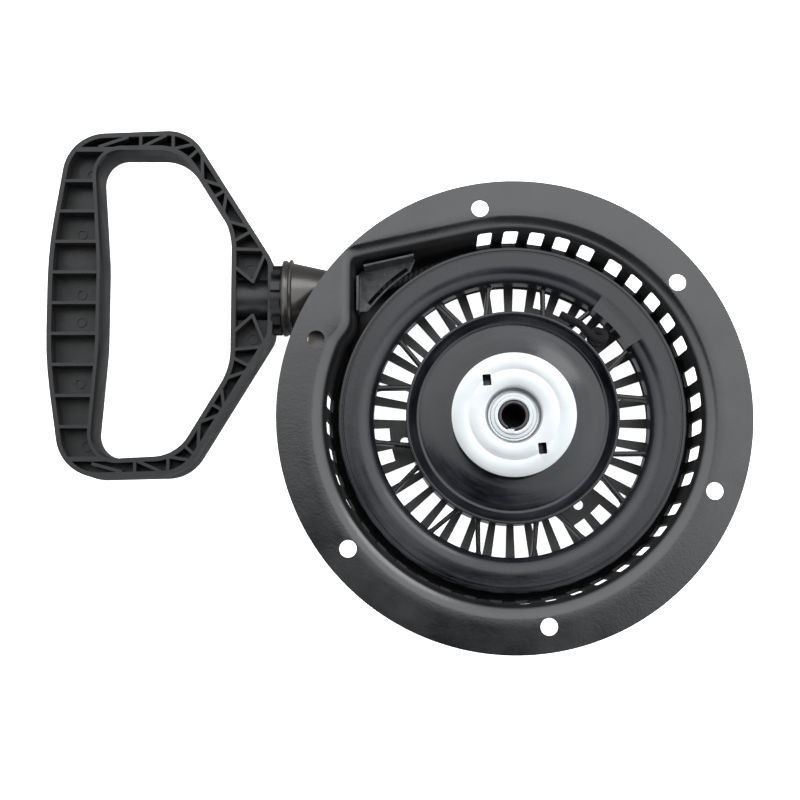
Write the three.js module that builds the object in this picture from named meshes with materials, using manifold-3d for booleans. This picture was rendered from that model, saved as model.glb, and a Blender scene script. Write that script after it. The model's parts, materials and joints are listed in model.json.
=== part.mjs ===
// Recoil starter for a large single or V-twin engine, in millimetres.
// Frame: origin on the pulley axis at the rear face of the housing, +Z towards the engine.
// The rope leaves through the wall along -X, to the handle.
import * as THREE from 'three';
import { mergeVertices } from 'three/addons/utils/BufferGeometryUtils.js';
import Module from 'manifold-3d';

const wasm = await Module();
wasm.setup();

// ---- driving dimensions -------------------------------------------------------------
const GAP = 0.3;
const FLANGE_R = 112;
const FLANGE_Z = 46;
const SHEET = 1.6;
const HOUSING_SIDES = 72;
const BOLT_CIRCLE_R = 100;
const BOLT_HOLE_R = 4.1;
const BOLT_START = 38.9;
const WALL_R = 87.8;
const WALL_DRAFT = 0.5;
const BEND_R = 94.9;
const BACK_R = 69.5;
const WINDOW_Z = [13.1, 41.5];
const WINDOW_WIDTH = 7.2;
const BACK_SLOT_R = [47.5, 68];
const SHORT_SLOT_R = 59.5;
const BACK_SLOT_HALF_ANGLE = 3;
const SCREW_HOLE_ANGLES = [70, 190, 310];
const POCKET_ANGLE = 102;
const POCKET_END_ANGLES = [146, 158];
const POCKET_X = -75.4;
const WALL_LINE = { circle: WALL_R, side: -POCKET_X, corner: 2 };
const BEND_LINE = { circle: BEND_R, side: 80.7, corner: 8 };
const POCKET_DROP = 5;
const ROPE_HOLE_R = 6;
const SCREW_HOLE_R = 2.45;
const SCREW_CIRCLE_R = 52.5;
const WINDOW_RUNS = [[-19.5, 5], [23.3, 5], [65.8, 5], [175.2, 20]];
const WINDOW_PITCH = 8.16;

const RING_FACE_Z = 29.4;
const RING_REAR_Z = 15.4;
const RING_OUTER_R = 83.5;
const RING_INNER_R = 66.6;
const GROOVE_R = 69.3;
const GROOVE_Z = [17.6, 27.2];
const SPOKE_Z = [13.5, 20.3];
const SPOKE_WIDTH = 2.2;
const SPOKE_PAIR_START = 20;
const SPOKE_LEAN = [6, 11.25];
const ANCHOR_ANGLE = 43.5;
const ANCHOR_POCKET_ANGLES = [32, 53];
const DRUM_R = 51;
const DRUM_RIM_Z = 35;
const DRUM_REAR_Z = 5.6;
const BOWL_FLOOR_Z = 36;
const PEG_R = 2;
const PEG_CIRCLE_R = 20.5;
const PEG_ANGLES = [38, 218];

const RETAINER_R = 29.5;
const RETAINER_TOP_Z = 46.2;
const RETAINER_HOLE_ANGLES = [127.8, 309.6];
const RETAINER_HOLE_CIRCLE_R = 20.7;
const WELL_R = 12.1;
const WELL_FLOOR_Z = 40.2;
const PIN_R = 7.1;
const POST_R = 10.4;
const POST_NECK_R = 8.7;
const POST_TOP_Z = 38.3;
const POST_FOOT_R = 14.5;
const PIN_Z = [4, 41.3];
const PIN_BORE_R = 5.7;
const PIN_SLIT_ANGLE = 250;
const DOG_Z = [38.1, 43.2];
const DOG_REST_ANGLE = 14;
const SMALL_SPRING_Z = 36.3;

const RECOIL_SPRING_Z = [6.2, 23.4];
const KEEPER_Z = [4, 5.3];

const ROPE_R = 2.2;
const ROPE_Z = 22.4;
const ROPE_OUT_R = 80;
const ROPE_TANGENT_ANGLE = 111.5;
const HANDLE_Y = 57.6;
const HANDLE_LEAN = 0.03;
const HANDLE_Z = 24.3;
const HANDLE_DEPTH = 23.6;
const HANDLE_WALL = 2.3;
const HANDLE_WEB = 3.4;
const RIB = 1.6;
const GRIP_X = [-226, -190];
const GRIP_MID_Y = 55.5;
const GRIP_PITCH = 15;
const GRIP_END = 75.5;
const HUB_Y = 58.2;
const HUB_R = 10;
const COLLAR_R = 17;
const COLLAR_BORE_R = ROPE_R + 0.6;
const KNOT_ROOM_R = 6.6;
const HANDLE_WASHER_X = [-122.5, -121.3];
const HUB_X = [-135, -114.6];
const GUIDE_Y = 59.2;
const GUIDE_MOUTH_X = -110.6;
const GUIDE_MOUTH_R = 19;
const GUIDE_FOOT_Z = [29, 33];
const PLATE_FLOOR_Z = 26.6;
const PLATE_TOP_Z = 42.6;
const PLATE_SHEET = 1;
const PLATE_ARC = [RING_OUTER_R + 3.4, 124, 143];
const PLATE_SLIT = [RING_OUTER_R + 4.3, RING_OUTER_R + 6.2, 124.6, 141];

// ---- materials -----------------------------------------------------------------------
const paint = new THREE.MeshStandardMaterial({ color: 0x2b2c2f, roughness: 0.45, metalness: 0.3 });
const nylon = new THREE.MeshStandardMaterial({ color: 0x34373d, roughness: 0.5, metalness: 0.1 });
const zinc = new THREE.MeshStandardMaterial({ color: 0xd9dee2, roughness: 0.28, metalness: 0.9 });
const steel = new THREE.MeshStandardMaterial({ color: 0x8f9296, roughness: 0.35, metalness: 0.9 });
const springSteel = new THREE.MeshStandardMaterial({ color: 0x3a3f4a, roughness: 0.35, metalness: 0.9 });
const guideNylon = new THREE.MeshStandardMaterial({ color: 0x4a4742, roughness: 0.5, metalness: 0 });
const handleNylon = new THREE.MeshStandardMaterial({ color: 0x26272a, roughness: 0.45, metalness: 0 });
const ropeFibre = new THREE.MeshStandardMaterial({ color: 0x121316, roughness: 0.9, metalness: 0 });

// ---- helpers -------------------------------------------------------------------------
const group = new THREE.Group();
const rad = (degrees) => (degrees * Math.PI) / 180;
const polar = (radius, degrees) => [radius * Math.cos(rad(degrees)), radius * Math.sin(rad(degrees))];

// A closed surface with shared vertices; made before a shape is moved, so that seams meet.
function sealed(geometry) {
  geometry.deleteAttribute('normal');
  geometry.deleteAttribute('uv');
  return mergeVertices(geometry, 1e-4);
}

function toSolid(geometry) {
  return new wasm.Manifold(new wasm.Mesh({
    numProp: 3,
    vertProperties: new Float32Array(geometry.attributes.position.array),
    triVerts: new Uint32Array(geometry.index.array),
  }));
}

function toGeometry(solid) {
  const mesh = solid.getMesh();
  const geometry = new THREE.BufferGeometry();
  geometry.setAttribute('position', new THREE.BufferAttribute(mesh.vertProperties, 3));
  geometry.setIndex(new THREE.BufferAttribute(mesh.triVerts, 1));
  return geometry;
}

const joined = (first, ...rest) => rest.reduce((sum, next) => sum.add(next), first);

function addPart(name, shape, material) {
  const geometry = shape.isBufferGeometry ? shape : toGeometry(shape);
  geometry.computeVertexNormals();
  const mesh = new THREE.Mesh(geometry, material);
  mesh.name = name;
  group.add(mesh);
  return mesh;
}

function shapeOf(points) {
  return new THREE.Shape(points.map(([x, y]) => new THREE.Vector2(x, y)));
}

function slab(shape, z0, z1, curveSegments = 12) {
  const depth = z1 - z0;
  return sealed(new THREE.ExtrudeGeometry(shape, { depth, bevelEnabled: false, curveSegments }))
    .translate(0, 0, z0);
}

function ring(innerR, outerR, z0, z1, segments = 48) {
  return turned([[innerR, z0], [outerR, z0], [outerR, z1], [innerR, z1]], segments);
}

// A profile of (radius, height) points turned about Z; it runs counter-clockwise.
function turned(profile, segments = 48) {
  const onAxis = profile[0][0] === 0;
  const points = profile.map(([r, z]) => new THREE.Vector2(r, z));
  if (!onAxis) {
    points.push(points[0].clone());
  }
  return sealed(new THREE.LatheGeometry(points, segments)).rotateX(Math.PI / 2);
}

function box(x0, x1, y0, y1, z0, z1) {
  return sealed(new THREE.BoxGeometry(x1 - x0, y1 - y0, z1 - z0))
    .translate((x0 + x1) / 2, (y0 + y1) / 2, (z0 + z1) / 2);
}

function rod(radius, z0, z1, segments = 24) {
  return sealed(new THREE.CylinderGeometry(radius, radius, z1 - z0, segments))
    .rotateX(Math.PI / 2)
    .translate(0, 0, (z0 + z1) / 2);
}

// Round stock along a smooth curve through the given points.
function tube(points, radius, steps, sides = 8) {
  const path = new THREE.CatmullRomCurve3(points.map((p) => new THREE.Vector3(...p)));
  const section = new THREE.Shape();
  section.absarc(0, 0, radius, 0, 2 * Math.PI);
  return sealed(new THREE.ExtrudeGeometry(section, {
    extrudePath: path, steps, curveSegments: sides / 2, bevelEnabled: false,
  }));
}

// A counter-clockwise outline through corners [x, y, fillet radius], moved inwards by inset.
function filleted(corners, inset = 0, arcSteps = 4) {
  const count = corners.length;
  const outline = [];
  for (let i = 0; i < count; i += 1) {
    const [x, y, radius] = corners[i];
    const before = new THREE.Vector2(...corners[(i + count - 1) % count]);
    const after = new THREE.Vector2(...corners[(i + 1) % count]);
    const here = new THREE.Vector2(x, y);
    const back = before.sub(here).normalize();
    const ahead = after.sub(here).normalize();
    const half = Math.acos(THREE.MathUtils.clamp(back.dot(ahead), -1, 1)) / 2;
    const bisector = back.clone().add(ahead).normalize();
    const centre = here.clone().addScaledVector(bisector, radius / Math.sin(half));
    const turn = Math.sign(ahead.cross(back));
    const filletR = Math.max(radius - inset * turn, 0.4);
    const middle = Math.atan2(-bisector.y, -bisector.x);
    const sweep = (Math.PI - 2 * half) * turn;
    for (let k = 0; k <= arcSteps; k += 1) {
      const angle = middle + sweep * (k / arcSteps - 0.5);
      outline.push([centre.x + filletR * Math.cos(angle), centre.y + filletR * Math.sin(angle)]);
    }
  }
  return outline;
}

// ---- housing -------------------------------------------------------------------------
// Distance from the axis, at an angle, of a line that runs round the housing: a circle, except
// at the rope pocket, where it is the circle's tangent at POCKET_ANGLE, then a rounded corner,
// then a straight side across -X that blends back into the circle.
function lineRadius({ circle, side, corner }, degrees) {
  const [blendStart, blendEnd] = POCKET_END_ANGLES;
  if (degrees <= POCKET_ANGLE || degrees >= blendEnd) {
    return circle;
  }
  const [nx, ny] = polar(1, POCKET_ANGLE);
  const cornerX = corner - side;
  const cornerY = (circle - corner - nx * cornerX) / ny;
  const arcStart = Math.atan2(cornerY + ny * corner, cornerX + nx * corner) / rad(1);
  const arcEnd = Math.atan2(cornerY, cornerX - corner) / rad(1);
  const [dx, dy] = polar(1, degrees);
  if (degrees < arcStart) {
    return circle / Math.cos(rad(degrees - POCKET_ANGLE));
  }
  if (degrees < arcEnd) {
    const along = cornerX * dx + cornerY * dy;
    const across = cornerX * dy - cornerY * dx;
    return along + Math.sqrt(corner ** 2 - across ** 2);
  }
  const blend = THREE.MathUtils.smoothstep(degrees, blendStart, blendEnd);
  return (-side / dx) * (1 - blend) + circle * blend;
}

// Moves a point of the turned sheet out to the walls of the rope pocket.
function pocketPoint(radius, degrees) {
  const wall = lineRadius(WALL_LINE, degrees);
  const bend = lineRadius(BEND_LINE, degrees);
  const edge = FLANGE_R - 0.2;
  if (radius <= WALL_R) {
    return radius + (wall - WALL_R) * THREE.MathUtils.smoothstep(radius, BACK_R + 6, WALL_R - 3);
  }
  if (radius <= BEND_R) {
    return THREE.MathUtils.mapLinear(radius, WALL_R, BEND_R, wall, bend);
  }
  return radius > edge ? radius : THREE.MathUtils.mapLinear(radius, BEND_R, edge, bend, edge);
}

function housing() {
  const wallFoot = WALL_R - WALL_DRAFT;
  const outerWall = WALL_R + SHEET;
  const geometry = turned([
    [0, 0], [BACK_R, 0], [wallFoot - 0.4, 8.2], [wallFoot + SHEET, 10.6], [outerWall, 40.2],
    [outerWall + 2.5, 43.4], [BEND_R + 0.7, FLANGE_Z - SHEET], [FLANGE_R, FLANGE_Z - SHEET],
    [FLANGE_R, FLANGE_Z], [BEND_R, FLANGE_Z], [91.4, 45], [WALL_R + 0.7, 42.9], [WALL_R, 41],
    [wallFoot, 12], [wallFoot - 1.4, 10], [BACK_R - 0.4, SHEET], [0, SHEET],
  ], HOUSING_SIDES);
  const position = geometry.attributes.position;
  for (let i = 0; i < position.count; i += 1) {
    const [x, y, z] = [position.getX(i), position.getY(i), position.getZ(i)];
    const radius = Math.hypot(x, y);
    if (radius < BACK_R + 2) {
      continue;
    }
    const moved = pocketPoint(radius, (Math.atan2(y, x) / rad(1) + 360) % 360);
    const low = 1 - THREE.MathUtils.smoothstep(z, 14, 26);
    const drop = (POCKET_DROP * low * (moved - radius)) / 16;
    position.setXYZ(i, (x * moved) / radius, (y * moved) / radius, z - drop);
  }
  let solid = toSolid(geometry);
  for (let i = 0; i < 6; i += 1) {
    const [x, y] = polar(BOLT_CIRCLE_R, BOLT_START + 60 * i);
    solid = solid.subtract(toSolid(rod(BOLT_HOLE_R, 40, 50, 16).translate(x, y, 0)));
  }
  const half = WINDOW_WIDTH / 2;
  for (const degrees of windowAngles()) {
    const window = box(WALL_R - 5, WALL_R + 8, -half, half, ...WINDOW_Z).rotateZ(rad(degrees));
    solid = solid.subtract(toSolid(window));
  }
  for (let i = 0; i < 36; i += 1) {
    solid = solid.subtract(backSlot(5 + 10 * i));
  }
  for (const degrees of SCREW_HOLE_ANGLES) {
    const [x, y] = polar(SCREW_CIRCLE_R, degrees);
    solid = solid.subtract(toSolid(rod(SCREW_HOLE_R, -1, 3, 12).translate(x, y, 0)));
  }
  const ropeHole = rod(ROPE_HOLE_R, POCKET_X - 8, POCKET_X + 8, 16).rotateY(Math.PI / 2);
  return solid.subtract(toSolid(ropeHole.translate(0, GUIDE_Y, HANDLE_Z)));
}

// Angles of the windows in the wall: an even pitch with three wider gaps, and none through
// the rope pocket.
function windowAngles() {
  const angles = [];
  for (const [first, count] of WINDOW_RUNS) {
    for (let i = 0; i < count; i += 1) {
      angles.push(first + WINDOW_PITCH * i);
    }
  }
  return angles;
}

// A slot in the back; the ones beside a screw hole are shorter.
function backSlot(degrees) {
  const beside = SCREW_HOLE_ANGLES.some((angle) => Math.abs(degrees - angle) <= 5);
  const [slotInnerR, slotOuterR] = BACK_SLOT_R;
  const innerR = beside ? SHORT_SLOT_R : slotInnerR;
  const half = BACK_SLOT_HALF_ANGLE;
  const lower = [polar(innerR, -half), polar(slotOuterR, -half)];
  const corners = [...lower, polar(slotOuterR, half), polar(innerR, half)];
  return toSolid(slab(shapeOf(corners), -1, 5).rotateZ(rad(degrees)));
}

addPart('housing', housing(), paint);

// ---- rope guide and its plate ----------------------------------------------------------
function ropeGuide() {
  const bodyEnd = POCKET_X - SHEET - GAP;
  const length = bodyEnd - GUIDE_MOUTH_X;
  const mouth = GUIDE_MOUTH_R;
  const funnel = turned([
    [ROPE_HOLE_R, 0], [9.6, 0], [13, 4], [mouth - 0.8, length - 6], [mouth - 0.4, length - 3.8],
    [mouth - 1.1, length - 3.4], [mouth - 1.1, length - 2.6], [mouth, length - 2.3], [mouth, length],
    [15.5, length], [12, length - 5], [7, length - 16],
  ], 24);
  funnel.rotateY(-Math.PI / 2).translate(bodyEnd, GUIDE_Y, HANDLE_Z);
  const foot = toSolid(slab(shapeOf([
    [-84, 48], [-98, 48], [-98, 31], [-92.8, 28], [-90.4, 33], [-86.4, 42],
  ]), ...GUIDE_FOOT_Z));
  const clearance = rod(12.4, -2, 60, 24).rotateY(-Math.PI / 2);
  return toSolid(funnel).add(foot.subtract(toSolid(clearance.translate(bodyEnd, GUIDE_Y, HANDLE_Z))));
}

addPart('rope_guide', ropeGuide(), guideNylon);

// The guide plate covers the rope where it leaves the pulley; two of its edges turn up, and
// a slit follows its curved edge.
function guidePlate() {
  const left = POCKET_X + 1;
  const [slitInnerR, slitOuterR, slitStart, slitEnd] = PLATE_SLIT;
  const outline = [...arcPoints(...PLATE_ARC, 5), [left, 52], [left, 70], [left + 2, 72], [-46.5, 77.8]];
  const slitInner = arcPoints(slitInnerR, slitStart, slitEnd, 5);
  const slit = [...slitInner, ...arcPoints(slitOuterR, slitEnd, slitStart, 5)];
  const floor = toSolid(slab(shapeOf(outline), PLATE_FLOOR_Z, PLATE_FLOOR_Z + PLATE_SHEET))
    .subtract(toSolid(slab(shapeOf(slit), PLATE_FLOOR_Z - 1, PLATE_FLOOR_Z + 2)));
  const side = box(left, left + PLATE_SHEET, 50.5, 67, PLATE_FLOOR_Z, PLATE_TOP_Z);
  const upperOutline = [[-71, 71.3], [-47.2, 76.6], [-47.2, 77.6], [-71, 72.3]];
  const upper = slab(shapeOf(upperOutline), PLATE_FLOOR_Z, PLATE_TOP_Z);
  return joined(floor, toSolid(side), toSolid(upper));
}

function arcPoints(radius, start, end, steps) {
  return Array.from({ length: steps + 1 }, (_, i) => polar(radius, start + ((end - start) * i) / steps));
}

addPart('rope_guide_plate', guidePlate(), paint);

// ---- centre post, washers, spring pin --------------------------------------------------
const postBack = SHEET + GAP;
const footTop = postBack + 2.6;

function centrePost() {
  const boreR = PIN_R + GAP;
  const post = toSolid(turned([
    [boreR, postBack], [POST_FOOT_R, postBack], [POST_FOOT_R, footTop], [POST_R, footTop + 0.2],
    [POST_R, 35.8], [POST_NECK_R, 35.8], [POST_NECK_R, POST_TOP_Z], [boreR, POST_TOP_Z],
  ], 24));
  return post.subtract(toSolid(box(POST_R - 2, POST_R + 1, -1, 1, 8, 24)));
}

addPart('centre_post', centrePost(), steel);

function springPin() {
  const sleeve = toSolid(ring(PIN_BORE_R, PIN_R, ...PIN_Z, 24));
  return sleeve.subtract(toSolid(box(0, PIN_R + 1, -0.8, 0.8, 0, 50).rotateZ(rad(PIN_SLIT_ANGLE))));
}

addPart('spring_pin', springPin(), springSteel);

// A stepped washer in the retainer's well, with a tab over the spring pin.
function retainerWasher() {
  const low = WELL_FLOOR_Z + GAP;
  const stepped = toSolid(turned([
    [PIN_R + GAP, low], [11, low], [11, low + 0.7], [9.2, low + 0.7], [9.2, low + 1.2],
    [PIN_R + GAP, low + 1.2],
  ], 32));
  const tab = slab(shapeOf([[-3.3, -8.3], [0.5, -8.6], [0.2, -6.6], [-2.9, -6.4]]), low + 1, 42.3);
  return stepped.add(toSolid(tab));
}

addPart('retainer_washer', retainerWasher(), zinc);
addPart('thrust_washer', ring(POST_R + 0.4, 14.4, footTop + GAP, footTop + 0.9, 24), steel);

// ---- retainer ----------------------------------------------------------------------------
function retainer() {
  const top = RETAINER_TOP_Z;
  let solid = toSolid(turned([
    [PIN_R + 0.4, WELL_FLOOR_Z - 1.3], [WELL_R + 1.1, WELL_FLOOR_Z - 1.3], [WELL_R + 1.3, 42],
    [15.6, top - 1.6], [RETAINER_R, top - 1.6], [RETAINER_R, top], [13.7, top], [WELL_R, 44.4],
    [WELL_R, WELL_FLOOR_Z], [PIN_R + 0.4, WELL_FLOOR_Z],
  ], 36));
  for (const degrees of RETAINER_HOLE_ANGLES) {
    const [x, y] = polar(RETAINER_HOLE_CIRCLE_R, degrees);
    const hole = box(-1.95, 1.95, -2.65, 2.65, 42, 48).rotateZ(rad(5)).translate(x, y, 0);
    solid = solid.subtract(toSolid(hole));
  }
  return solid;
}

addPart('retainer', retainer(), zinc);

// ---- pulley --------------------------------------------------------------------------------
function pulley() {
  const rope = GROOVE_Z;
  const rim = turned([
    [RING_INNER_R, RING_REAR_Z], [RING_OUTER_R, RING_REAR_Z], [RING_OUTER_R, rope[0] - 0.4],
    [GROOVE_R, rope[0]], [GROOVE_R, rope[1]], [RING_OUTER_R, rope[1] + 0.4], [RING_OUTER_R, RING_FACE_Z],
    [RING_INNER_R + 2.8, RING_FACE_Z], [RING_INNER_R, RING_FACE_Z - 2.4],
  ], 48);
  const drum = turned([
    [POST_R + 0.4, 6.2], [14.6, 6.2], [14.6, 27.4], [48, 24], [48, DRUM_REAR_Z], [DRUM_R, DRUM_REAR_Z],
    [DRUM_R, DRUM_RIM_Z], [49.6, DRUM_RIM_Z], [45.6, 30.4], [33, BOWL_FLOOR_Z],
    [POST_R + 0.4, BOWL_FLOOR_Z],
  ], 36);
  let solid = toSolid(rim).add(toSolid(drum));
  for (let pair = 0; pair < 8; pair += 1) {
    for (const side of [-1, 1]) {
      solid = solid.add(spoke(SPOKE_PAIR_START + 45 * pair, side));
    }
  }
  solid = solid.add(ropeAnchorPocket());
  for (const degrees of PEG_ANGLES) {
    const [x, y] = polar(PEG_CIRCLE_R, degrees);
    solid = solid.add(toSolid(rod(PEG_R, BOWL_FLOOR_Z - 1, 44.2, 16).translate(x, y, 0)));
  }
  const anchorHole = rod(2.6, 60, 72, 12).rotateY(Math.PI / 2).rotateZ(rad(ANCHOR_ANGLE));
  return solid.subtract(toSolid(anchorHole.translate(0, 0, ROPE_Z)));
}

// Spokes lean together in pairs: their outer ends are even, their inner ends close up.
function spoke(centre, side) {
  const [x0, y0] = polar(DRUM_R - 1, centre + SPOKE_LEAN[0] * side);
  const [x1, y1] = polar(RING_INNER_R + 1, centre + SPOKE_LEAN[1] * side);
  const length = Math.hypot(x1 - x0, y1 - y0);
  const strut = box(0, length, -SPOKE_WIDTH / 2, SPOKE_WIDTH / 2, ...SPOKE_Z);
  return toSolid(strut.rotateZ(Math.atan2(y1 - y0, x1 - x0)).translate(x0, y0, 0));
}

// A thicker stretch of the ring's inner edge, where the rope's end passes through.
function ropeAnchorPocket() {
  const [start, end] = ANCHOR_POCKET_ANGLES;
  const outerArc = arcPoints(RING_INNER_R + 1.5, start, end, 3);
  const outline = [...outerArc, ...arcPoints(RING_INNER_R - 1.2, end, start, 3)];
  return toSolid(slab(shapeOf(outline), 17, RING_FACE_Z));
}

addPart('pulley', pulley(), nylon);

// ---- starter dogs, their springs and the brake spring ------------------------------------
// A dog turns on its peg; at rest it lies under the retainer, within the retainer's edge.
function dog() {
  const outline = filleted([
    [-4.6, -4.2, 2.5], [4.4, -4.4, 3], [5, 8, 3], [1.2, 20.6, 0.8], [-1.8, 20.8, 0.8],
    [-2.2, 12, 6], [-5, 4.6, 3],
  ], 0, 3);
  const plate = toSolid(slab(shapeOf(outline), ...DOG_Z));
  return plate.subtract(toSolid(rod(PEG_R + GAP, DOG_Z[0] - 1, DOG_Z[1] + 1, 16)));
}

for (const [index, degrees] of PEG_ANGLES.entries()) {
  const [x, y] = polar(PEG_CIRCLE_R, degrees);
  const name = index === 0 ? 'a' : 'b';
  const pawl = addPart(`dog_${name}`, dog(), steel);
  pawl.position.set(x, y, 0);
  pawl.rotation.z = rad(degrees + DOG_REST_ANGLE);
  const coil = ring(PEG_R + GAP, 3.6, SMALL_SPRING_Z, SMALL_SPRING_Z + 1.5, 16);
  addPart(`dog_spring_${name}`, coil.translate(x, y, 0), springSteel);
}

addPart('brake_spring', ring(POST_NECK_R + 0.4, 12, SMALL_SPRING_Z, SMALL_SPRING_Z + 2.2, 24), springSteel);

// ---- recoil spring and its keeper -----------------------------------------------------------
// A flat strip wound in a spiral, from the slot in the centre post to the drum's wall.
function recoilSpring() {
  const turns = 7.5;
  const steps = 16 * turns;
  const startR = 16;
  const pitch = 4;
  const strip = 1.1;
  const inner = [];
  const outer = [];
  for (let i = 0; i <= steps; i += 1) {
    const turn = (i / steps) * turns;
    const radius = startR + pitch * turn;
    inner.push(polar(radius, -360 * turn));
    outer.push(polar(radius + strip, -360 * turn));
  }
  return slab(shapeOf([...inner, ...outer.reverse()]), ...RECOIL_SPRING_Z);
}

addPart('recoil_spring', recoilSpring(), springSteel);
addPart('spring_keeper', ring(15.2, 47.4, ...KEEPER_Z, 32), steel);

// ---- rope -----------------------------------------------------------------------------------
// The wound rope is drawn as one ring; the run leaves it on a tangent, through the guide.
const woundRope = ring(GROOVE_R + GAP, ROPE_OUT_R, GROOVE_Z[0] + GAP, GROOVE_Z[1] - GAP, 48);
addPart('rope_on_pulley', woundRope, ropeFibre);
const [tangentX, tangentY] = polar(ROPE_OUT_R + ROPE_R + 2 * GAP, ROPE_TANGENT_ANGLE);
addPart('rope_run', tube([
  [tangentX, tangentY, ROPE_Z], [-54, 68, ROPE_Z + 0.4], [-72, 61.6, ROPE_Z + 1.2], [-82, GUIDE_Y, HANDLE_Z],
  [-95, 58.5, HANDLE_Z], [-122.7, HUB_Y, HANDLE_Z],
], ROPE_R, 20), ropeFibre);

function blob(centre, radii) {
  return sealed(new THREE.SphereGeometry(1, 12, 8)).scale(...radii).translate(...centre);
}

const [knotX, knotY] = polar(57.8, ANCHOR_ANGLE);
addPart('pulley_knot', blob([knotX, knotY, 24.6], [5.4, 5.4, 4]), ropeFibre);
addPart('rope_tail', tube([
  [36.2, 43.8, 25.6], [31, 47.6, 24.2], [24, 51.4, 23],
], ROPE_R, 8), ropeFibre);

// ---- handle -----------------------------------------------------------------------------------
// The handle's mid line, which droops a little from the hub to the grip.
const midLine = (x) => HANDLE_Y + HANDLE_LEAN * (x - HUB_X[1]);

// Mitten grip: outline corners (x, distance from the mid line, fillet radius), mirrored.
function mirrored(corners) {
  const upper = corners.map(([x, offset, radius]) => [x, midLine(x) + offset, radius]);
  const lower = corners.map(([x, offset, radius]) => [x, midLine(x) - offset, radius]).reverse();
  return [...lower, ...upper];
}

const outerCorners = mirrored([
  [-115, 18, 12], [-156, 84.1, 20], [-214.9, 83.8, 21], [-223.7, 27, 200],
]);
const openingCorners = mirrored([
  [-135, 33.3, 32], [-160.4, 74.7, 20], [-200.7, 74.7, 13], [-196.2, 20, 150],
]);

function bar(x0, y0, x1, y1, width, z0, z1) {
  const length = Math.hypot(x1 - x0, y1 - y0);
  return toSolid(box(0, length, -width / 2, width / 2, z0, z1)
    .rotateZ(Math.atan2(y1 - y0, x1 - x0))
    .translate(x0, y0, 0));
}

// Ribs of one half, as [x, offset, x, offset] lines from wall to wall.
const TRUSS = [
  [-134, 16.3, -125, 8.6], [-124.8, 7.6, -118.5, 22.5], [-134.5, 24.5, -119, 23.6],
  [-135, 27.7, -125.5, 33], [-137.5, 38.4, -127, 35.2], [-139.2, 42.5, -137.8, 52],
  [-144.5, 50, -138, 53.9], [-149.5, 59, -140, 55.8], [-149.5, 60, -149.9, 74],
  [-157, 69.5, -150.5, 75.3], [-164.5, 74.9, -153.5, 77.1], [-164.1, 74, -164.1, 84],
  [-178.5, 76.8, -167.3, 82], [-179.9, 74, -179.9, 84], [-200.5, 77.2, -186, 81.6],
];

function handleRibs(z0, z1) {
  const ribs = [];
  for (const side of [-1, 1]) {
    for (const [x0, offset0, x1, offset1] of TRUSS) {
      ribs.push(bar(x0, midLine(x0) + side * offset0, x1, midLine(x1) + side * offset1, RIB, z0, z1));
    }
    const endY = GRIP_MID_Y + side * GRIP_END;
    ribs.push(bar(...GRIP_X.flatMap((x) => [x, endY]), HANDLE_WALL, z0, z1));
  }
  for (let i = -4; i <= 4; i += 1) {
    const ribY = GRIP_MID_Y + GRIP_PITCH * i;
    ribs.push(bar(...GRIP_X.flatMap((x) => [x, ribY]), RIB, z0, z1));
  }
  return ribs;
}

function handle() {
  const z0 = HANDLE_Z - HANDLE_DEPTH / 2;
  const z1 = HANDLE_Z + HANDLE_DEPTH / 2;
  const opening = toSolid(slab(shapeOf(filleted(openingCorners)), z0 - 1, z1 + 1));
  let solid = toSolid(slab(shapeOf(filleted(outerCorners)), z0, z1)).subtract(opening);
  const channel = shapeOf(filleted(outerCorners, HANDLE_WALL));
  const island = shapeOf(filleted(openingCorners, -HANDLE_WALL));
  for (const [low, high] of [[z0 - 1, HANDLE_Z - HANDLE_WEB / 2], [HANDLE_Z + HANDLE_WEB / 2, z1 + 1]]) {
    const kept = joined(toSolid(slab(island, low - 1, high + 1)), ...handleRibs(low - 1, high + 1));
    solid = solid.subtract(toSolid(slab(channel, low, high)).subtract(kept));
  }
  const alongX = (radius, x0, x1, segments) => toSolid(rod(radius, x0, x1, segments)
    .rotateY(Math.PI / 2).translate(0, HUB_Y, HANDLE_Z));
  const collar = alongX(COLLAR_R, HUB_X[1] - 1, GUIDE_MOUTH_X - GAP, 32);
  solid = joined(solid, alongX(HUB_R, HUB_X[0] + 0.5, HUB_X[1], 24), collar);
  const knotRoom = alongX(KNOT_ROOM_R, HUB_X[0] - 3, HANDLE_WASHER_X[1] + GAP, 20);
  return solid.subtract(knotRoom).subtract(alongX(COLLAR_BORE_R, -122, -100, 12));
}

addPart('handle', handle(), handleNylon);
const washer = ring(ROPE_R + 0.5, 6.2, ...HANDLE_WASHER_X, 20).rotateY(Math.PI / 2);
addPart('handle_washer', washer.translate(0, HUB_Y, HANDLE_Z), steel);
addPart('handle_knot', blob([-128.2, HUB_Y, HANDLE_Z], [5.1, 5.6, 5.4]), ropeFibre);

export default group;
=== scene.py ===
import json
import math
from contextlib import contextmanager

import bmesh
import bpy
import numpy as np
from mathutils import Matrix, Vector


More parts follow.
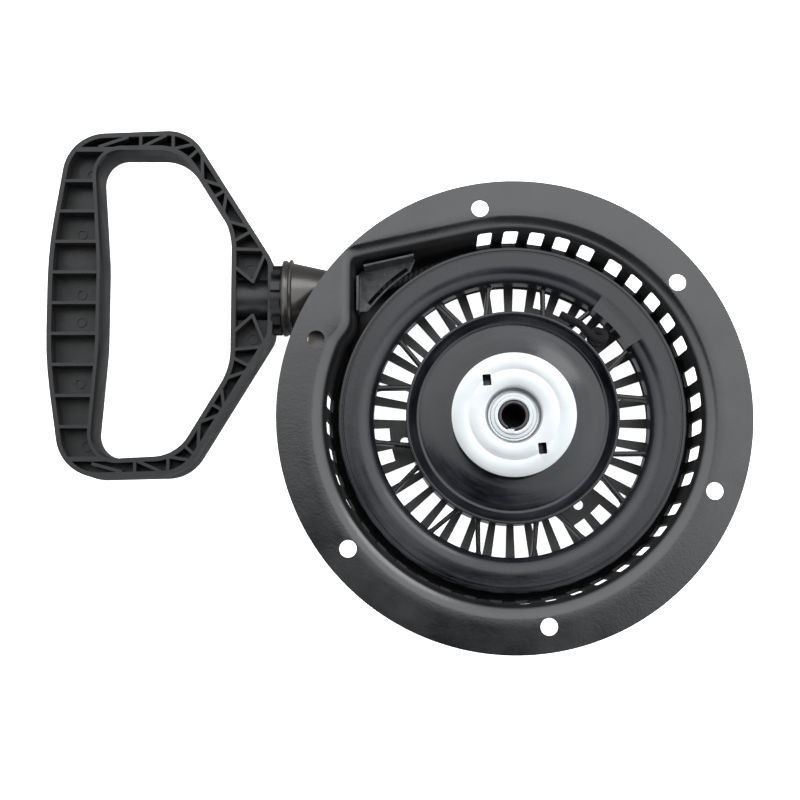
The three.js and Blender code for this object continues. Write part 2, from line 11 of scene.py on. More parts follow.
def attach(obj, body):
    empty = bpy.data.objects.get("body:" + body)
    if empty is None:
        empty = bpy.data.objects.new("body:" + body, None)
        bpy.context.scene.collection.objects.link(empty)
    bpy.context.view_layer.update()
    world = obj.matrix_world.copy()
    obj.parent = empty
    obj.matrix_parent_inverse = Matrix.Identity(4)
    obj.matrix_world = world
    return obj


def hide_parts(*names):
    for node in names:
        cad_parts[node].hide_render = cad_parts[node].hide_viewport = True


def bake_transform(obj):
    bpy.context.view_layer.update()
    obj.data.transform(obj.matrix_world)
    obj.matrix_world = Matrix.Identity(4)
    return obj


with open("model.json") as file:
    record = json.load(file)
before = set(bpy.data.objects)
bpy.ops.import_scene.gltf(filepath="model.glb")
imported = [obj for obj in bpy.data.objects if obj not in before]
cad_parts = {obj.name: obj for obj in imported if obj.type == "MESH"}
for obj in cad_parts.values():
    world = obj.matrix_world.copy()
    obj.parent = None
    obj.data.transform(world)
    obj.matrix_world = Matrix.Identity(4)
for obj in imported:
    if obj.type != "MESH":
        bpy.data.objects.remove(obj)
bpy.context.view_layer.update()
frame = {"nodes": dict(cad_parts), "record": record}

# ---- dimensions, in millimetres in the object's frame ------------------------------------
MM = 0.001
FLANGE_R = 112.0
FLANGE_Z = 46.0
SHEET = 1.6
WALL_R = 87.8
WALL_DRAFT = 0.5
BEND_R = 94.9
BACK_R = 69.3
BOLT_CIRCLE_R = 100.0
BOLT_HOLE_R = 4.1
BOLT_START = 38.9
POCKET_X = -75.4
POCKET_ANGLE = 102.0
POCKET_END_ANGLES = (146.0, 158.0)
WALL_LINE = (WALL_R, -POCKET_X, 2.0)
BEND_LINE = (BEND_R, 80.7, 8.0)
POCKET_DROP = 5.0
BACK_BAR_HALF = 2.0
BACK_SLOT_R = (47.5, 68.1)
SHORT_SLOT_R = 59.5
WINDOW_Z = (13.1, 41.5)
WINDOW_WIDTH = 7.2
WINDOW_RUNS = ((-19.5, 5), (23.3, 5), (65.8, 5), (175.2, 20))
WINDOW_PITCH = 8.16
SCREW_ANGLES = (70.0, 190.0, 310.0)
SCREW_ZONE_HALF = 10
SCREW_CIRCLE_R = 52.5
SCREW_HOLE_R = 2.45
ROPE_HOLE_R = 6.0

RING_FACE_Z = 29.4
RING_REAR_Z = 15.4
RING_OUTER_R = 83.5
RING_INNER_R = 66.6
GROOVE_R = 69.3
GROOVE_Z = (17.6, 27.2)
SPOKE_Z = (13.6, 20.2)
SPOKE_PAIR_START = 20
SPOKE_LEAN = (6, 11.25)
ANCHOR_POCKET_ANGLES = (31.5, 53.5)
DRUM_R = 51.0
DRUM_RIM_Z = 35.0
DRUM_REAR_Z = 5.6
BOWL_FLOOR_Z = 36.0
PEG_R = 2.0
PEG_CIRCLE_R = 20.5
PEG_ANGLES = (38.0, 218.0)
POST_R = 10.4

RETAINER_R = 29.5
RETAINER_TOP_Z = 46.2
RETAINER_HOLE_ANGLES = (127.8, 309.6)
RETAINER_HOLE_CIRCLE_R = 20.7
WELL_R = 12.1
WELL_FLOOR_Z = 40.2
PIN_R = 7.1
PIN_BORE_R = 5.7
PIN_Z = (4.0, 41.3)
PIN_SLIT_ANGLE = 250
DOG_Z = (38.1, 43.2)
DOG_REST_ANGLE = 14
SMALL_COIL_Z = 36.35

ROPE_R = 2.2
ROPE_Z = 22.4
KNOT_ANGLE = 43.5
KNOT_R = 57.8
HANDLE_Y = 57.6
HANDLE_LEAN = 0.03
GRIP_MID_Y = 55.5
GRIP_PITCH = 15.0
GRIP_END = 75.5
HANDLE_Z = 24.3
HANDLE_DEPTH = 23.6
HANDLE_WALL = 2.3
HANDLE_WEB = 3.4
RIB = 1.5
HUB_Y = 58.2
HUB_R = 10.0
HUB_X = (-134.5, -114.6)
HANDLE_WASHER_X = (-122.5, -121.3)
KNOT_ROOM_R = 6.6
GUIDE_Y = 59.2
GUIDE_MOUTH_X = -110.6
GUIDE_END_X = POCKET_X - SHEET - 0.3
GUIDE_FOOT_Z = (29, 33)
PLATE_Z = (26.6, 42.6)
PLATE_SHEET = 1.0


# ---- mesh helpers ------------------------------------------------------------------------
def polar(radius, degrees):
    angle = math.radians(degrees)
    return radius * math.cos(angle), radius * math.sin(angle)


def circle(radius, sides):
    return [polar(radius, 360 * k / sides) for k in range(sides)]


def arc(radius, start, stop, steps=16):
    """Points round the origin from start to stop, in degrees."""
    return [polar(radius, start + (stop - start) * k / steps) for k in range(steps + 1)]


def tangents(points):
    """The direction of a path of vectors at each of its points."""
    last = len(points) - 1
    return [(points[min(i + 1, last)] - points[max(i - 1, 0)]).normalized() for i in range(last + 1)]


def smoothstep(value, low, high):
    t = np.clip((value - low) / (high - low), 0.0, 1.0)
    return t * t * (3 - 2 * t)


def make_object(name, verts, faces):
    """A new object from vertices in millimetres."""
    mesh = bpy.data.meshes.new(name)
    mesh.from_pydata([tuple(float(c) * MM for c in v) for v in verts], [], faces)
    mesh.update()
    obj = bpy.data.objects.new(name, mesh)
    bpy.context.scene.collection.objects.link(obj)
    return obj


def bake_modifiers(obj):
    """Replaces the mesh by what its modifiers make of it."""
    depsgraph = bpy.context.evaluated_depsgraph_get()
    mesh = bpy.data.meshes.new_from_object(obj.evaluated_get(depsgraph))
    old = obj.data
    obj.modifiers.clear()
    obj.data = mesh
    bpy.data.meshes.remove(old)


def combine(obj, other, operation):
    """Joins or cuts obj with another object, which goes away."""
    modifier = obj.modifiers.new("combine", "BOOLEAN")
    modifier.operation = operation
    modifier.solver = "MANIFOLD"
    modifier.object = other
    bake_modifiers(obj)
    bpy.data.objects.remove(other)


def bevel(obj, width, segments, angle):
    """Rounds the edges that are sharper than the angle."""
    modifier = obj.modifiers.new("bevel", "BEVEL")
    modifier.width = width * MM
    modifier.segments = segments
    modifier.limit_method = "ANGLE"
    modifier.angle_limit = math.radians(angle)
    modifier.miter_outer = "MITER_ARC"
    bake_modifiers(obj)


@contextmanager
def editing(obj):
    """The object's mesh as an editable one, written back at the end."""
    work = bmesh.new()
    work.from_mesh(obj.data)
    yield work
    work.to_mesh(obj.data)
    work.free()


def smooth(obj, angle):
    """Shades smooth except across edges sharper than the angle."""
    obj.data.shade_smooth()
    with editing(obj) as work:
        for edge in work.edges:
            if len(edge.link_faces) == 2:
                edge.smooth = edge.calc_face_angle(0.0) < math.radians(angle)


def clean(obj):
    """Merges near-equal vertices and splits the faces, so that none folds over itself."""
    with editing(obj) as work:
        bmesh.ops.remove_doubles(work, verts=work.verts, dist=0.01 * MM)
        bmesh.ops.dissolve_degenerate(work, edges=work.edges, dist=0.005 * MM)
        bmesh.ops.triangulate(work, faces=work.faces)


def outward(obj):
    """Turns every face outwards."""
    with editing(obj) as work:
        bmesh.ops.recalc_face_normals(work, faces=work.faces)


def arc_at(before, corner, after, step, fewest, inset=0.0):
    """The arc that rounds a corner (x, y, radius), moved inwards by inset."""
    here = Vector(corner[:2])
    back = (Vector(before[:2]) - here).normalized()
    ahead = (Vector(after[:2]) - here).normalized()
    half = back.angle(ahead) / 2
    if half > math.radians(89.5):
        return [tuple(here)]
    bisector = (back + ahead).normalized()
    centre = here + bisector * (corner[2] / math.sin(half))
    turn = 1 if ahead.x * back.y - ahead.y * back.x > 0 else -1
    radius = max(corner[2] - inset * turn, 0.4) if inset else corner[2]
    sweep = (math.pi - 2 * half) * turn
    count = max(fewest, int(abs(math.degrees(sweep)) / step) + 1)
    middle = math.atan2(-bisector.y, -bisector.x)
    angles = [middle + sweep * (k / count - 0.5) for k in range(count + 1)]
    return [(centre.x + radius * math.cos(a), centre.y + radius * math.sin(a)) for a in angles]


def rounded(points, step=12.0):
    """Open polyline of (x, y, radius) with arcs at the points that have a radius."""
    out = []
    for i, point in enumerate(points):
        if i in (0, len(points) - 1) or point[2] == 0:
            out.append(point[:2])
        else:
            out.extend(arc_at(points[i - 1], point, points[i + 1], step, 2))
    return out


def filleted(corners, inset=0.0, step=5.0):
    """Counter-clockwise closed outline of (x, y, radius) corners, moved inwards by inset."""
    out = []
    for i, corner in enumerate(corners):
        after = corners[(i + 1) % len(corners)]
        out.extend(arc_at(corners[i - 1], corner, after, step, 3, inset))
    return out


def box_outline(x0, y0, x1, y1, corner, step):
    """A rectangle with rounded corners."""
    return filleted([(x0, y0, corner), (x1, y0, corner), (x1, y1, corner), (x0, y1, corner)], 0, step)


def lathe(name, profile, segments=96):
    """A closed profile of (r, z), running counter-clockwise, turned about Z."""
    verts = [(*polar(r, 360 * i / segments), z) for i in range(segments) for r, z in profile]
    faces = []
    count = len(profile)
    for i in range(segments):
        j = (i + 1) % segments
        for k in range(count):
            n = (k + 1) % count
            faces.append((i * count + k, j * count + k, j * count + n, i * count + n))
    obj = make_object(name, verts, faces)
    with editing(obj) as work:
        bmesh.ops.remove_doubles(work, verts=work.verts, dist=1e-7)
        bmesh.ops.recalc_face_normals(work, faces=work.faces)
    return obj


def skin(count, levels):
    """Faces of a stack of outlines with count points each, closed at both ends."""
    last = (levels - 1) * count
    faces = [tuple(reversed(range(count))), tuple(range(last, last + count))]
    for base in range(0, last, count):
        for k in range(count):
            n = (k + 1) % count
            faces.append((base + k, base + n, base + count + n, base + count + k))
    return faces


def prism(name, outline, z0, z1):
    """An outline raised from z0 to z1."""
    verts = [(x, y, z0) for x, y in outline] + [(x, y, z1) for x, y in outline]
    obj = make_object(name, verts, skin(len(outline), 2))
    outward(obj)
    return obj


def bar_outline(x0, y0, x1, y1, width):
    along = Vector((x1 - x0, y1 - y0)).normalized()
    side = Vector((-along.y, along.x)) * (width / 2)
    return [
        (x0 - side.x, y0 - side.y), (x1 - side.x, y1 - side.y),
        (x1 + side.x, y1 + side.y), (x0 + side.x, y0 + side.y),
    ]


def rod(name, radius, z0, z1, segments=32):
    return prism(name, circle(radius, segments), z0, z1)


def place(obj, matrix):
    """Moves the mesh itself; the matrix is in millimetres."""
    scaled = matrix.copy()
    scaled.translation = matrix.translation * MM
    obj.data.transform(scaled)
    obj.data.update()
    return obj


def spin(degrees, x=0, y=0, z=0):
    """Turns a shape about Z, then moves it."""
    return Matrix.Translation((x, y, z)) @ Matrix.Rotation(math.radians(degrees), 4, "Z")


def rod_at(circle_r, degrees, radius, z0, z1, segments):
    """An upright rod whose foot is given by its distance from the axis and its angle."""
    return place(rod("rod", radius, z0, z1, segments), spin(0, *polar(circle_r, degrees)))


def along_x(x, y, z):
    """Turns a shape made along +Z to lie along +X from the point given."""
    return Matrix.Translation((x, y, z)) @ Matrix.Rotation(math.pi / 2, 4, "Y")


def merged(name, objects):
    """One object holding the separate solids of several."""
    work = bmesh.new()
    for obj in objects:
        work.from_mesh(obj.data)
        bpy.data.objects.remove(obj)
    mesh = bpy.data.meshes.new(name)
    work.to_mesh(mesh)
    work.free()
    joined = bpy.data.objects.new(name, mesh)
    bpy.context.scene.collection.objects.link(joined)
    return joined


# ---- materials ---------------------------------------------------------------------------
def set_inputs(node, values):
    """Puts constants on the sockets named."""
    for key, value in values.items():
        node.inputs[key].default_value = value


def map_range(tree, value, limits, interpolation="LINEAR"):
    """Maps value from the first two limits to the last two, held at both ends."""
    node = tree.nodes.new("ShaderNodeMapRange")
    node.interpolation_type = interpolation
    set_inputs(node, dict(zip(("From Min", "From Max", "To Min", "To Max"), limits)))
    tree.links.new(value, node.inputs["Value"])
    return node.outputs["Result"]


class Surface:
    """A Principled material with helpers for its nodes."""

    def __init__(self, name, roughness, metallic=0.0, specular=0.5):
        self.material = bpy.data.materials.new(name)
        self.material.use_nodes = True
        self.tree = self.material.node_tree
        self.shader = self.tree.nodes["Principled BSDF"]
        set_inputs(self.shader, {
            "Roughness": roughness, "Metallic": metallic, "Specular IOR Level": specular,
        })
        self.coords = self.node("TexCoord").outputs["Object"]

    def node(self, kind):
        return self.tree.nodes.new("ShaderNode" + kind)

    def link(self, output, target):
        self.tree.links.new(output, target)

    def fill(self, sockets, values):
        """Each value is a number or another node's output."""
        for socket, value in zip(sockets, values):
            if isinstance(value, (int, float)):
                socket.default_value = value
            else:
                self.link(value, socket)

    def math(self, operation, first, second=0.0):
        node = self.node("Math")
        node.operation = operation
        self.fill(node.inputs, (first, second))
        return node.outputs[0]

    def noise(self, scale, detail=3.0, vector=None, rough=0.55):
        node = self.node("TexNoise")
        set_inputs(node, {"Scale": scale, "Detail": detail, "Roughness": rough})
        self.link(vector or self.coords, node.inputs["Vector"])
        return node.outputs["Fac"]

    def ramp(self, value, low, high, start, end):
        return map_range(self.tree, value, (low, high, start, end))

    def colours(self, value, dark, light):
        node = self.node("Mix")
        node.data_type = "RGBA"
        set_inputs(node, {"A": (*dark, 1), "B": (*light, 1)})
        self.link(value, node.inputs["Factor"])
        self.link(node.outputs["Result"], self.shader.inputs["Base Color"])

    def roughness(self, value):
        self.link(value, self.shader.inputs["Roughness"])

    def bump(self, height, strength, distance=0.001):
        node = self.node("Bump")
        set_inputs(node, {"Strength": strength, "Distance": distance})
        self.link(height, node.inputs["Height"])
        self.link(node.outputs["Normal"], self.shader.inputs["Normal"])

    def split(self, vector=None):
        node = self.node("SeparateXYZ")
        self.link(vector or self.coords, node.inputs[0])
        return node.outputs

    def joined(self, x, y, z):
        node = self.node("CombineXYZ")
        self.fill(node.inputs, (x, y, z))
        return node.outputs[0]

    def turned(self, radial, angular):
        """Coordinates stretched round the Z axis: fine across, long round."""
        x, y, z = self.split()
        squares = self.math("ADD", self.math("MULTIPLY", x, x), self.math("MULTIPLY", y, y))
        radius = self.math("SQRT", squares)
        angle = self.math("ARCTAN2", y, x)
        return self.joined(
            self.math("MULTIPLY", radius, radial),
            self.math("MULTIPLY", self.math("SINE", angle), angular),
            self.math("ADD", self.math("MULTIPLY", self.math("COSINE", angle), angular), z),
        )


def housing_paint():
    s = Surface("housing_paint", 0.18, specular=0.6)
    broad = s.noise(14, 4)
    s.colours(s.ramp(broad, 0.35, 0.65, 0, 1), (0.004, 0.0041, 0.0044), (0.009, 0.0091, 0.0097))
    grain = s.noise(900, 2)
    height = s.split()[2]
    dull = s.ramp(height, 0.040, 0.0448, 0.27, 0)
    s.roughness(s.math("ADD", s.ramp(s.noise(60, 5), 0.3, 0.7, 0.13, 0.23), dull))
    s.bump(s.math("ADD", grain, s.math("MULTIPLY", s.noise(240, 3), 0.5)), 0.07, 0.0004)
    return s.material


def pulley_plastic():
    s = Surface("pulley_plastic", 0.2, specular=0.38)
    swirl = s.noise(1.0, 5, s.turned(420, 2.2))
    cloudy = s.noise(26, 4)
    streaks = s.math("ADD", s.math("MULTIPLY", cloudy, 0.55), s.math("MULTIPLY", swirl, 0.45))
    s.colours(s.ramp(streaks, 0.38, 0.62, 0, 1), (0.002, 0.0022, 0.0032), (0.0125, 0.0131, 0.0165))
    s.roughness(s.ramp(streaks, 0.36, 0.64, 0.1, 0.3))
    grain = s.math("MULTIPLY", s.noise(700, 2), 0.4)
    s.bump(s.math("ADD", s.math("MULTIPLY", swirl, 0.6), grain), 0.1, 0.0005)
    return s.material


def zinc_plate():
    s = Surface("zinc_plate", 0.3, metallic=1.0)
    lines = s.noise(1.0, 3, s.turned(1500, 0.8))
    cloudy = s.noise(40, 4)
    s.colours(s.ramp(cloudy, 0.35, 0.65, 0, 1), (0.40, 0.425, 0.43), (0.47, 0.49, 0.495))
    s.roughness(s.ramp(lines, 0.3, 0.7, 0.28, 0.38))
    s.bump(lines, 0.02, 0.0002)
    return s.material


# The guide plate's housing paint, painted lighter than housing_paint: painted light standing in for the
# light its recessed face misses; the fine speckle is its real finish
def plate_paint_with_painted_light():
    s = Surface("plate_paint_with_painted_light", 0.45, metallic=0.2)
    s.colours(s.ramp(s.noise(380, 4), 0.35, 0.65, 0, 1), (0.012, 0.0125, 0.013), (0.034, 0.035, 0.037))
    s.roughness(s.ramp(s.noise(160, 4), 0.3, 0.7, 0.4, 0.55))
    s.bump(s.noise(650, 3), 0.25, 0.0005)
    return s.material


def plain_steel():
    s = Surface("plain_steel", 0.36, metallic=1.0)
    s.colours(s.noise(60, 5), (0.30, 0.31, 0.33), (0.46, 0.47, 0.48))
    s.roughness(s.ramp(s.noise(220, 4), 0.3, 0.7, 0.3, 0.46))
    s.bump(s.noise(500, 3), 0.08, 0.0004)
    return s.material


def spring_steel():
    s = Surface("spring_steel", 0.4, metallic=0.9)
    s.colours(s.noise(90, 4), (0.035, 0.033, 0.032), (0.07, 0.068, 0.07))
    s.roughness(s.ramp(s.noise(300, 4), 0.3, 0.7, 0.34, 0.5))
    s.bump(s.noise(600, 2), 0.08, 0.0004)
    return s.material


def guide_plastic():
    s = Surface("guide_plastic", 0.3)
    # Painted light: below y = 38.5 mm the foot, seen through a bolt hole under the flange, is painted far
    # lighter than the rest of the guide, standing in for the light the flange shades off it
    foot = s.ramp(s.split()[1], 0.0385, 0.041, 1, 0)
    # Random tone of the plastic, with the painted light on the foot laid over it
    tone_and_painted_light = s.math("MAXIMUM", s.math("MULTIPLY", s.noise(30, 4), 0.12), foot)
    s.colours(tone_and_painted_light, (0.012, 0.0108, 0.0095), (0.16, 0.148, 0.13))
    s.roughness(s.ramp(s.noise(120, 4), 0.3, 0.7, 0.16, 0.26))
    s.bump(s.noise(800, 3), 0.1, 0.0004)
    return s.material


def handle_plastic():
    s = Surface("handle_plastic", 0.42, specular=0.3)
    s.colours(s.noise(22, 5), (0.006, 0.0061, 0.0066), (0.012, 0.0122, 0.013))
    s.roughness(s.ramp(s.noise(90, 4), 0.3, 0.7, 0.3, 0.46))
    s.bump(s.math("ADD", s.noise(750, 3), s.math("MULTIPLY", s.noise(120, 3), 0.5)), 0.12, 0.0004)
    return s.material


def rope_fibre():
    s = Surface("rope_fibre", 0.85, specular=0.2)
    s.colours(s.noise(420, 4), (0.003, 0.003, 0.0036), (0.011, 0.011, 0.0122))
    s.bump(s.noise(1800, 2), 0.4, 0.0004)
    s.shader.inputs["Sheen Weight"].default_value = 0.05
    return s.material


def rope_braid():
    """The rope that runs along X: crossing strands drawn from its place in space, with painted shade
    darkening the valleys between them.
    """
    s = Surface("rope_braid", 0.75)
    x, y, z = s.split()
    angle = s.math("ARCTAN2", s.math("SUBTRACT", z, HANDLE_Z * MM), s.math("SUBTRACT", y, HUB_Y * MM))
    along = s.math("MULTIPLY", x, 2 * math.pi / (2.6 * MM))
    first = s.math("SINE", s.math("ADD", along, s.math("MULTIPLY", angle, 6.0)))
    second = s.math("SINE", s.math("SUBTRACT", along, s.math("MULTIPLY", angle, 6.0)))
    braid = s.math("MAXIMUM", first, second)
    # Painted shade and highlight: the valleys between strands are coloured darker and the crowns lighter, on
    # top of the strands' bump
    s.colours(s.ramp(braid, -0.4, 1, 0, 1), (0.004, 0.004, 0.005), (0.022, 0.022, 0.024))
    s.bump(braid, 0.8, 0.0008)
    return s.material


SLOTS = (
    housing_paint, pulley_plastic, zinc_plate, plain_steel, spring_steel, guide_plastic, handle_plastic,
    rope_fibre,
)
MATERIALS = {make.__name__: make() for make in SLOTS}


def finish_piece(obj, body, slot, nodes, material=None):
    """Gives a piece its material, its body and the CAD nodes that it stands for."""
    obj.data.materials.clear()
    obj.data.materials.append(material or MATERIALS[slot])
    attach(obj, body)
    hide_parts(*nodes)
    return obj


# ---- housing -----------------------------------------------------------------------------
def window_angles():
    """Centre angles of the wall's windows: three wider gaps, and none through the rope pocket."""
    return [first + WINDOW_PITCH * i for first, count in WINDOW_RUNS for i in range(count)]


def line_radius(line, degrees):
    """Distance from the axis of a line that runs round the housing, out round the rope pocket."""
    circle, side, corner = line
    blend_start, blend_end = POCKET_END_ANGLES
    if degrees <= POCKET_ANGLE or degrees >= blend_end:
        return circle
    nx, ny = polar(1, POCKET_ANGLE)
    corner_x = corner - side
    corner_y = (circle - corner - nx * corner_x) / ny
    arc_start = math.degrees(math.atan2(corner_y + ny * corner, corner_x + nx * corner))
    arc_end = math.degrees(math.atan2(corner_y, corner_x - corner))
    dx, dy = polar(1, degrees)
    if degrees < arc_start:
        return circle / math.cos(math.radians(degrees - POCKET_ANGLE))
    if degrees < arc_end:
        along = corner_x * dx + corner_y * dy
        across = corner_x * dy - corner_y * dx
        return along + math.sqrt(corner ** 2 - across ** 2)
    blend = float(smoothstep(degrees, blend_start, blend_end))
    return (-side / dx) * (1 - blend) + circle * blend


def pocket_point(radius, z, wall, bend):
    """Moves a point of the turned sheet out to the walls of the rope pocket."""
    edge = FLANGE_R - 0.2
    if radius <= WALL_R:
        moved = radius + (wall - WALL_R) * float(smoothstep(radius, BACK_R + 6, WALL_R - 3))
    elif radius <= BEND_R:
        moved = wall + (radius - WALL_R) * (bend - wall) / (BEND_R - WALL_R)
    elif radius <= edge:
        moved = bend + (radius - BEND_R) * (edge - bend) / (edge - BEND_R)
    else:
        moved = radius
    low = 1 - float(smoothstep(z, 14, 26))
    return moved, z - POCKET_DROP * low * (moved - radius) / 16


def grid_angles():
    """One line of the sheet's grid per degree, and one on each edge of the back's bars."""
    edges = [(10.0 * i + side * BACK_BAR_HALF) % 360 for i in range(36) for side in (-1, 1)]
    fill = [a / 2 for a in range(720) if (a % 2 == 0 or 100 < a / 2 < 160) and a / 2 not in edges]
    return sorted(edges + fill)


def sheet_profile():
    """The middle of the sheet from the centre of the back to the flange's edge, with its normals."""
    foot = WALL_R - WALL_DRAFT + SHEET / 2
    top = WALL_R + SHEET / 2
    back = [(r, SHEET / 2, 0) for r in (8, BACK_SLOT_R[0], SHORT_SLOT_R, BACK_SLOT_R[1])]
    middle = rounded(back + [
        (BACK_R + 0.9, SHEET / 2, 1.5), (foot - 0.2, 9.8, 3.5), (top, 40.4, 3), (top + 2.2, 43.6, 3),
        (BEND_R - 0.4, FLANGE_Z - SHEET / 2, 5), (FLANGE_R, FLANGE_Z - SHEET / 2, 0),
    ])
    points = []
    for (r0, z0), (r1, z1) in zip(middle, middle[1:]):
        count = max(1, int(math.hypot(r1 - r0, z1 - z0) / 4))
        points.extend((r0 + (r1 - r0) * k / count, z0 + (z1 - z0) * k / count) for k in range(count))
    points.append(middle[-1])
    return points, [(-along.y, along.x) for along in tangents([Vector(p) for p in points])]


def window(degrees):
    """A cutter with rounded corners, set across the wall."""
    half = WINDOW_WIDTH / 2
    low, high = WINDOW_Z
    block = prism("window", box_outline(low, -half, high, half, 1.3, 18), WALL_R - 5, WALL_R + 8)
    upright = Matrix(((0, 0, 1, 0), (0, 1, 0, 0), (1, 0, 0, 0), (0, 0, 0, 1)))
    place(block, upright)
    outward(block)
    return place(block, spin(degrees))


def housing_holes():
    """Cutters for the windows, the bolt holes, the screw holes and the rope's way out."""
    cutters = [window(degrees) for degrees in window_angles()]
    cutters += [rod_at(BOLT_CIRCLE_R, BOLT_START + 60 * i, BOLT_HOLE_R, 40, 50, 48) for i in range(6)]
    cutters += [rod_at(SCREW_CIRCLE_R, degrees, SCREW_HOLE_R, -2, 5, 32) for degrees in SCREW_ANGLES]
    rope_hole = rod("hole", ROPE_HOLE_R, -6, 6, 32)
    cutters.append(place(rope_hole, along_x(POCKET_X - SHEET, GUIDE_Y, HANDLE_Z)))
    return merged("holes", cutters)


def housing():
    """Both sides of the sheet on one grid, joined along every edge that is left open."""
    angles = grid_angles()
    points, normals = sheet_profile()
    count = len(points)
    total = len(angles)
    verts = []
    for side in (1, -1):
        for degrees in angles:
            wall = line_radius(WALL_LINE, degrees)
            bend = line_radius(BEND_LINE, degrees)
            for (r, z), (nr, nz) in zip(points, normals):
                r += nr * side * SHEET / 2
                z += nz * side * SHEET / 2
                moved, lowered = pocket_point(r, z, wall, bend)
                x, y = polar(moved, degrees)
                verts.append((x, y, lowered))
    grid = total * count
    centre = len(verts)
    verts.extend([(0, 0, SHEET), (0, 0, 0)])
    kept = []
    for i in range(total):
        j = (i + 1) % total
        middle = (angles[i] + (angles[j] if j else angles[0] + 360)) / 2
        on_bar = abs((middle + 5) % 10 - 5) < BACK_BAR_HALF
        near_screw = any(abs((middle - a + 180) % 360 - 180) < SCREW_ZONE_HALF for a in SCREW_ANGLES)
        slot_start = SHORT_SLOT_R if near_screw else BACK_SLOT_R[0]
        kept.append((centre, j * count, i * count))
        for k in range(count - 1):
            r = (points[k][0] + points[k + 1][0]) / 2
            if slot_start < r < BACK_SLOT_R[1] and not on_bar:
                continue
            kept.append((i * count + k, j * count + k, j * count + k + 1, i * count + k + 1))
    edges = {}
    faces = []
    for face in kept:
        faces.append(face[::-1])
        faces.append(tuple(v + grid if v != centre else centre + 1 for v in face))
        for a, b in zip(face, face[1:] + face[:1]):
            if edges.pop((b, a), None) is None:
                edges[(a, b)] = True
    faces.extend((a, b, b + grid, a + grid) for a, b in edges)
    obj = make_object("housing_shell", verts, faces)
    with editing(obj) as work:
        bmesh.ops.delete(work, geom=[v for v in work.verts if not v.link_faces], context="VERTS")
        bmesh.ops.recalc_face_normals(work, faces=work.faces)
    combine(obj, housing_holes(), "DIFFERENCE")
    outward(obj)
    smooth(obj, 32)
    return finish_piece(obj, "housing", "housing_paint", ["housing"])


# ---- rope guide and plate ----------------------------------------------------------------
def rope_guide():
    """A funnel with a double-rimmed mouth, and a foot under the flange."""
    length = GUIDE_END_X - GUIDE_MOUTH_X
    cone = [(ROPE_HOLE_R, 0), (9.6, 0), (11.4, 2.2), (12.3, 6)]
    rims = [
        (17.1, 5.4), (17.4, 4.9), (18.5, 4.7), (18.9, 4.4), (18.9, 3.7), (18.5, 3.3),
        (17.8, 3.0), (17.9, 2.5), (18.4, 2.0), (18.6, 0.6), (18.2, 0), (16.2, 0),
    ]
    throat = [(15.5, 0.6), (13.4, 3), (10.4, 7.5), (8, 13), (7, 18)]
    profile = cone + [(r, length - depth) for r, depth in rims + throat] + [(ROPE_HOLE_R, 8)]
    funnel = lathe("rope_guide_body", profile, 96)
    turn = Matrix.Translation((GUIDE_END_X, GUIDE_Y, HANDLE_Z)) @ Matrix.Rotation(-math.pi / 2, 4, "Y")
    place(funnel, turn)
    foot = prism("foot", rounded([
        (-84, 48, 0), (-98, 48, 0), (-98, 31, 2), (-92.8, 28, 2), (-90.4, 33, 2), (-86.4, 42, 0),
        (-84, 48, 0),
    ])[:-1], *GUIDE_FOOT_Z)
    combine(funnel, foot, "UNION")
    outward(funnel)
    smooth(funnel, 40)
    return finish_piece(funnel, "housing", "guide_plastic", ["rope_guide"])


def guide_plate():
    """Covers the rope where it leaves the pulley; two of its edges turn up."""
    left = POCKET_X + 1.0
    low, top = PLATE_Z
    right = left + PLATE_SHEET
    edge = arc(RING_OUTER_R + 3.4, 124, 143)
    plate = prism("guide_plate", edge + [(left, 52), (left, 70), (left + 2, 72), (-46.5, 77.8)],
                  low, low + PLATE_SHEET)
    side = prism("side", [(left, 50.5), (right, 50.5), (right, 67), (left, 67)], low, top)
    upper = prism("upper", [(-71, 71.3), (-47.2, 76.6), (-47.2, 77.6), (-71, 72.3)], low, top)
    combine(plate, side, "UNION")
    combine(plate, upper, "UNION")
    slit = arc(RING_OUTER_R + 4.3, 124.6, 141) + arc(RING_OUTER_R + 6.2, 141, 124.6)
    combine(plate, prism("slit", slit, low - 1, low + 2), "DIFFERENCE")
    bevel(plate, 0.25, 2, 30)
    smooth(plate, 25)
    # The plate wears a lighter copy of the housing paint: painted light on its recessed face
    return finish_piece(plate, "housing", "housing_paint", ["rope_guide_plate"], plate_paint_with_painted_light())


# ---- pulley ------------------------------------------------------------------------------
def spoke(centre, side):
    """One spoke of a pair: it leans away from the pair's centre line and flares at both ends."""
    x0, y0 = polar(DRUM_R - 1, centre + SPOKE_LEAN[0] * side)
    x1, y1 = polar(RING_INNER_R + 1.2, centre + SPOKE_LEAN[1] * side)
    along = Vector((x1 - x0, y1 - y0))
    length = along.length
    flare = 3.0
    sections = [
        (0, 1.7, 1.35), (flare * 0.4, 1.35, 1.1), (flare, 1.2, 0.95), (length - flare, 1.2, 0.95),
        (length - flare * 0.4, 1.5, 1.2), (length, 2.3, 1.9),
    ]
    bottom, top = SPOKE_Z
    edge = 0.4
    verts = []
    for s, low, high in sections:
        verts += [(s, -low, bottom), (s, low, bottom), (s, high, top - edge),
                  (s, high - edge, top), (s, edge - high, top), (s, -high, top - edge)]
    bar = make_object("spoke", verts, skin(6, len(sections)))
    outward(bar)
    return place(bar, spin(math.degrees(math.atan2(along.y, along.x)), x0, y0))


